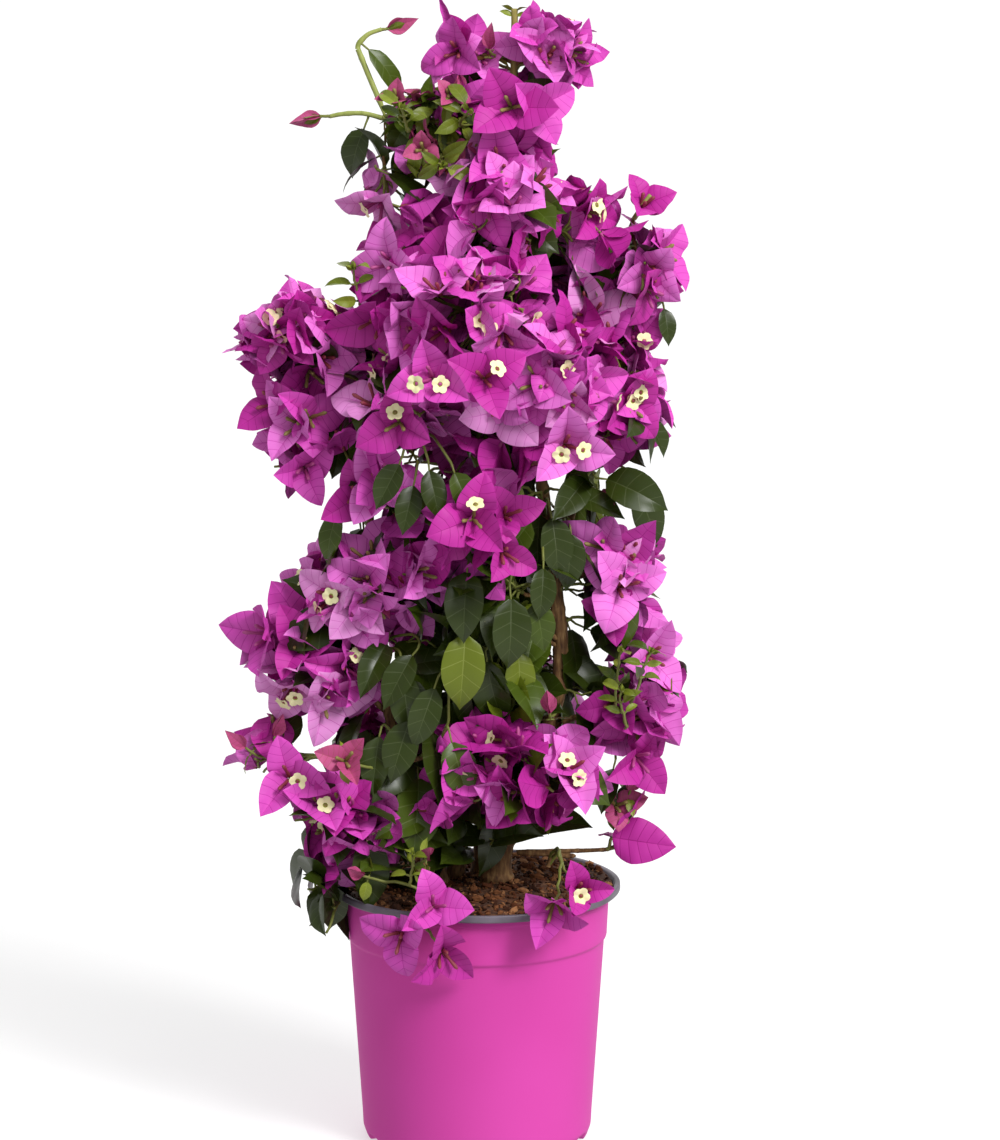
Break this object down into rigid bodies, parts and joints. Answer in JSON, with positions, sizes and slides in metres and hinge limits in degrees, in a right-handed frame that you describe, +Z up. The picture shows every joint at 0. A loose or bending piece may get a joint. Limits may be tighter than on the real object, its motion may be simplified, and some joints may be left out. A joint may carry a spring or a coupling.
{
  "type": "potted bougainvillea bush",
  "caption": "Slim upright bougainvillea with magenta bracts over green leaves, in a tapered round pink plastic pot with a grey inner rim.",
  "frame": {"origin": "centre of the pot's flat underside", "axes": "+Z up the plant, +X to the plant's right as seen from its front, the front faces -Y"},
  "size_m": [0.2782, 0.2174, 0.6681],
  "materials": {
    "pot_plastic": "satin moulded magenta-pink plastic",
    "grey_plastic": "matte grey moulded plastic",
    "soil": "coarse moist peat and bark",
    "bark": "fine ridged brown bark",
    "green_shoot": "smooth green young bark",
    "bract": "papery veined magenta bracts",
    "leaf": "glossy dark green leaves",
    "young_growth": "dusky pink-green buds and young leaves"
  },
  "bodies": {
    "root": {"pot": "pot_plastic", "inner_pot": "grey_plastic", "soil": "soil", "main_stem": "bark", "second_stem": "bark", "left_stem": "bark", "back_stem": "bark", "low_stem_left": "bark", "bough_wing_left": "bark", "bough_mid_left": "bark", "bough_low_left": "bark", "bough_low_wing": "bark", "bough_mid_right": "bark", "bough_low_right": "bark", "bough_sprig_right": "bark", "bough_over_rim": "bark", "shoot_arch_rise": "green_shoot", "shoot_arch_top": "green_shoot", "shoot_left": "green_shoot", "shoot_right": "green_shoot", "tip_left": "bract", "tip_right": "bract", "tip_centre": "bract", "crown_left_shoulder": "bract", "crown_upper_front": "bract", "crown_upper_right": "bract", "crown_right_shoulder": "bract", "crown_front": "bract", "crown_left": "bract", "crown_front_left": "bract", "crown_front_right": "bract", "crown_right": "bract", "crown_back_top": "bract", "crown_back_left": "bract", "crown_back_right": "bract", "crown_back_low": "bract", "wing_left_upper": "bract", "wing_left_lower": "bract", "crown_low_left": "bract", "centre_front": "bract", "mid_left": "bract", "mid_left_low": "bract", "mid_right": "bract", "mid_right_low": "bract", "mid_back_left": "bract", "mid_back_right": "bract", "low_wing_left": "bract", "low_left": "bract", "low_front": "bract", "low_back_left": "bract", "low_back_right": "bract", "sprig_low_right": "bract", "over_rim_left": "bract", "over_rim_right": "bract", "bloom_right": "bract", "leaf_heart": "leaf", "leaves_low_left": "leaf", "tip_young": "young_growth", "bud_top": "young_growth", "bud_left": "young_growth"}
  },
  "joints": []
}
